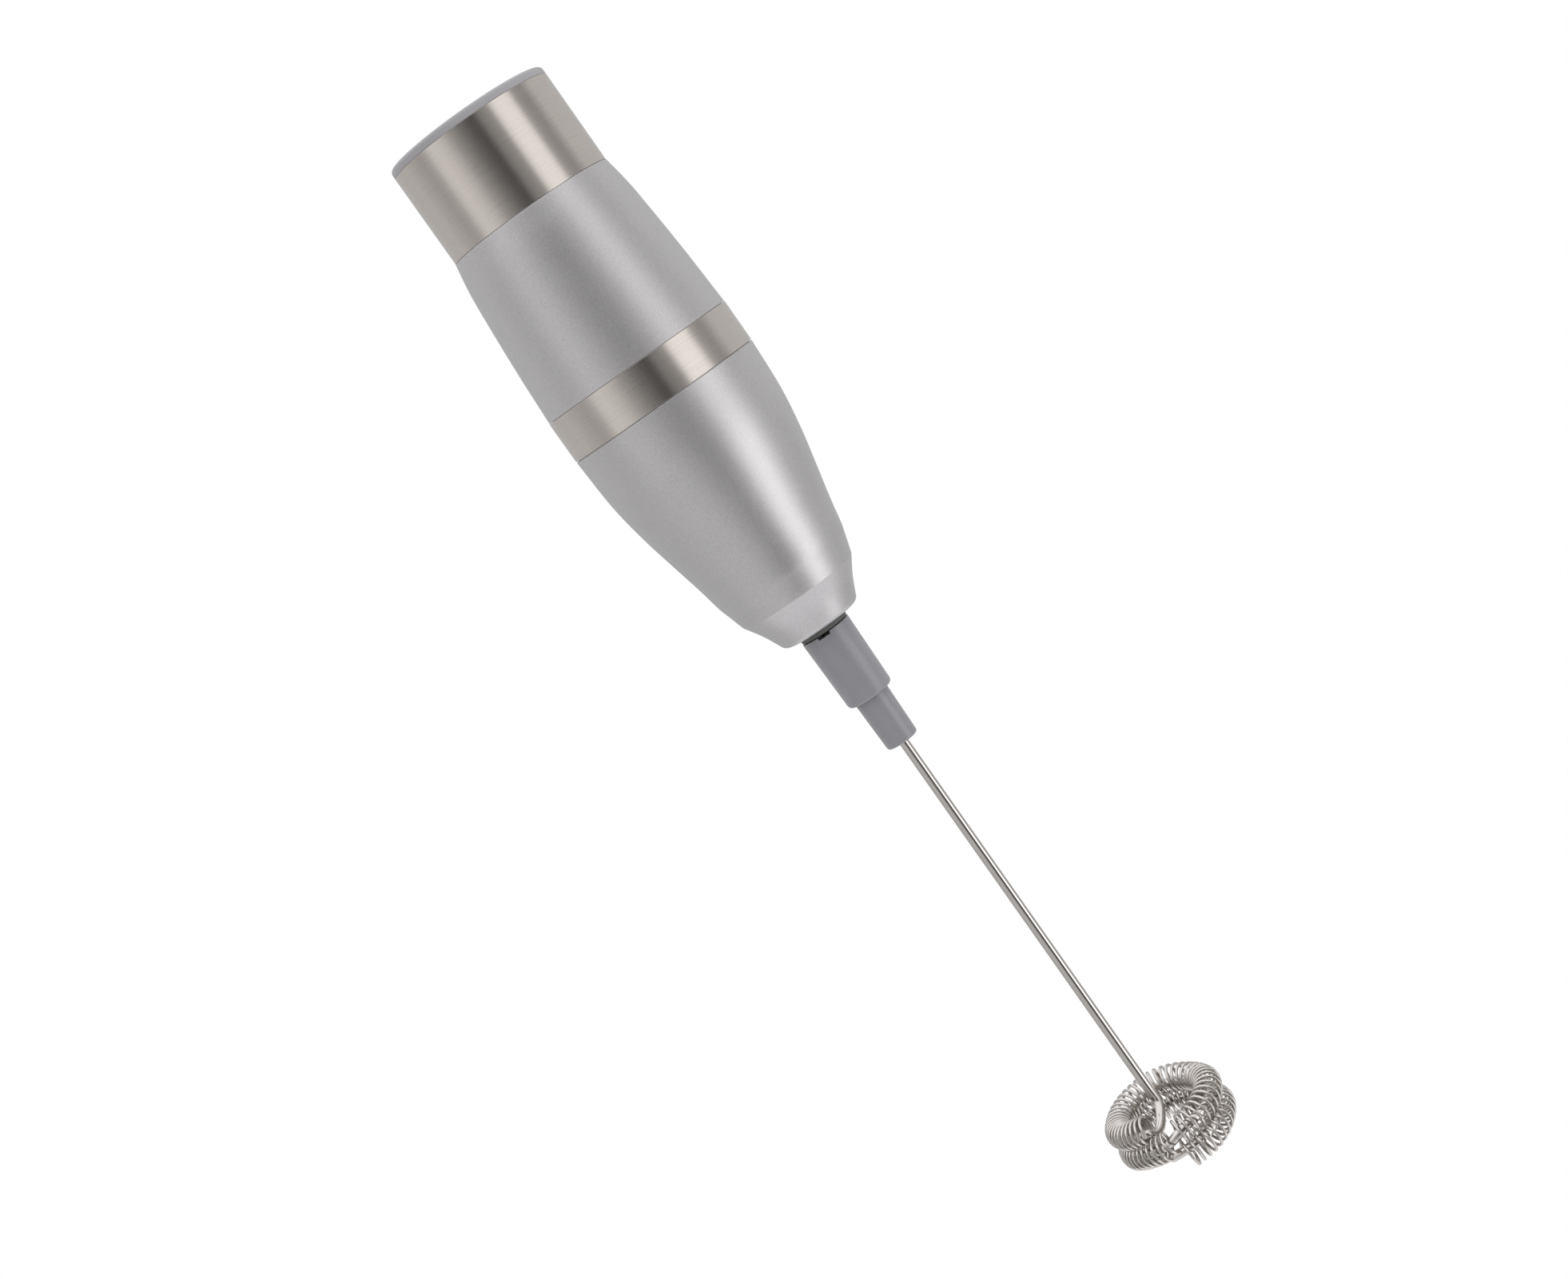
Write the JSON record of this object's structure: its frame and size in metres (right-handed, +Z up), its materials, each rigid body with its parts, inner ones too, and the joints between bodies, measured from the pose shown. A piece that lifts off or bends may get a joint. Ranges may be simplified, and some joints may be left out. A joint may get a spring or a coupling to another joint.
{
  "type": "milk frother",
  "caption": "Hand-held battery milk frother: barrel handle with steel bands and a top push button, small motor and cells inside, and a spring-wire ring whisk on a thin shaft.",
  "frame": {"origin": "on the drive axis, at mid-height of the steel grip band, where a hand holds it", "axes": "+Z up along the drive axis towards the push button, the whisk hangs towards -Z; -Y is the front"},
  "size_m": [0.038, 0.038, 0.2301],
  "materials": {
    "silver_paint": "silver metallic paint with a very fine grain, satin",
    "brushed_steel": "brushed stainless steel, fine lines round the band",
    "grey_plastic": "cool grey moulded plastic, matte",
    "coupling_plastic": "mid grey moulded plastic, satin",
    "dark_plastic": "black moulded plastic, matte",
    "dark_rubber": "dark olive-grey rubber, matte",
    "bright_wire": "polished stainless steel wire",
    "brass": "thin brass strip",
    "bronze": "phosphor bronze, satin",
    "copper": "enamelled copper, glossy",
    "zinc_steel": "zinc-plated steel",
    "ferrite": "sintered ferrite, dull",
    "cell_jacket": "printed film jacket with a steel top and base",
    "red_insulation": "red lead insulation",
    "black_insulation": "black lead insulation"
  },
  "bodies": {
    "handle": {"lower_shell": "silver_paint", "cover_o_ring": "dark_rubber", "battery_frame": "dark_plastic", "battery_1": "cell_jacket", "battery_2": "cell_jacket", "battery_spring_1": "zinc_steel", "battery_spring_2": "zinc_steel", "positive_plate_bottom": "zinc_steel", "positive_plate_top": "zinc_steel", "switch_bracket": "brass", "motor_can": "zinc_steel", "motor_end_bell": "dark_plastic", "magnet_1": "ferrite", "magnet_2": "ferrite", "brush_1": "brass", "brush_2": "brass", "front_bushing": "bronze", "rear_bushing": "bronze", "motor_cushion": "dark_rubber", "shaft_seal": "dark_rubber", "frame_screw_1": "zinc_steel", "frame_screw_2": "zinc_steel", "wire_positive": "red_insulation", "wire_negative": "black_insulation"},
    "cover": {"upper_shell": "silver_paint", "cap_band": "brushed_steel", "grip_band": "brushed_steel", "top_bezel": "grey_plastic", "button_guide": "dark_plastic", "button_spring": "zinc_steel"},
    "button": {"button_cap": "grey_plastic"},
    "leaf": {"switch_leaf": "bronze"},
    "drive": {"armature_core": "zinc_steel", "winding_1": "copper", "winding_2": "copper", "winding_3": "copper", "commutator": "copper", "motor_shaft": "bright_wire"},
    "whisk": {"whisk_coupling": "coupling_plastic", "whisk_wire": "bright_wire", "whisk_spring": "bright_wire"}
  },
  "joints": [
    {"name": "cover_pull", "type": "slide", "parent": "handle", "child": "cover", "axis": [0, 0, 1], "range_m": [0, 0.06]},
    {"name": "button_press", "type": "slide", "parent": "cover", "child": "button", "axis": [0, 0, -1], "range_m": [0, 0.0014], "stiffness_N_per_m": 600, "springref_m": -0.002, "deforming": ["button_spring"]},
    {"name": "leaf_bend", "type": "hinge", "parent": "handle", "child": "leaf", "pos_m": [0.0105, 0, 0.0412], "axis": [0, -1, 0], "range_deg": [-1, 10]},
    {"name": "motor_spin", "type": "hinge", "parent": "handle", "child": "drive", "pos_m": [0, 0, -0.035], "axis": [0, 0, -1], "continuous": true},
    {"name": "whisk_pull", "type": "slide", "parent": "drive", "child": "whisk", "axis": [0, 0, -1], "range_m": [0, 0.014]}
  ],
  "couplings": [
    {"joint": "leaf_bend", "follows": "button_press", "rad_per_m": 95}
  ]
}
